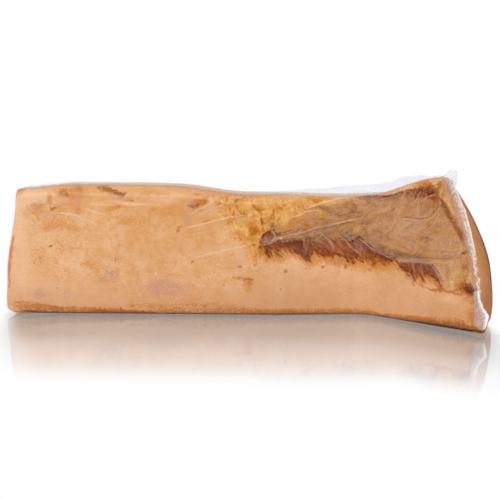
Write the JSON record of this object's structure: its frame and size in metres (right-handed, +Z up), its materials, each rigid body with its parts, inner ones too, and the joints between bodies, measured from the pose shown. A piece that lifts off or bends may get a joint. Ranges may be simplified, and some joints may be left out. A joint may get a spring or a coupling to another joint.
{
  "type": "vacuum-packed smoked bacon slab",
  "caption": "Whole slab of smoked bacon in a skin-tight clear vacuum bag, standing on its long narrow edge with one end bent forward and a crinkled film weld down that end.",
  "frame": {"origin": "middle of the bounding box at the foot, on the plane the slab stands on", "axes": "+X along the slab towards its bent end and the film weld, +Z up, -Y towards the shown rind face"},
  "size_m": [0.4834, 0.142, 0.1482],
  "materials": {
    "smoked_rind": "smooth golden-tan smoked surface, satin under tight film",
    "clear_film": "thin clear glossy film, milky where it is folded or welded"
  },
  "bodies": {
    "root": {"vacuum_pack": "smoked_rind"}
  },
  "joints": []
}
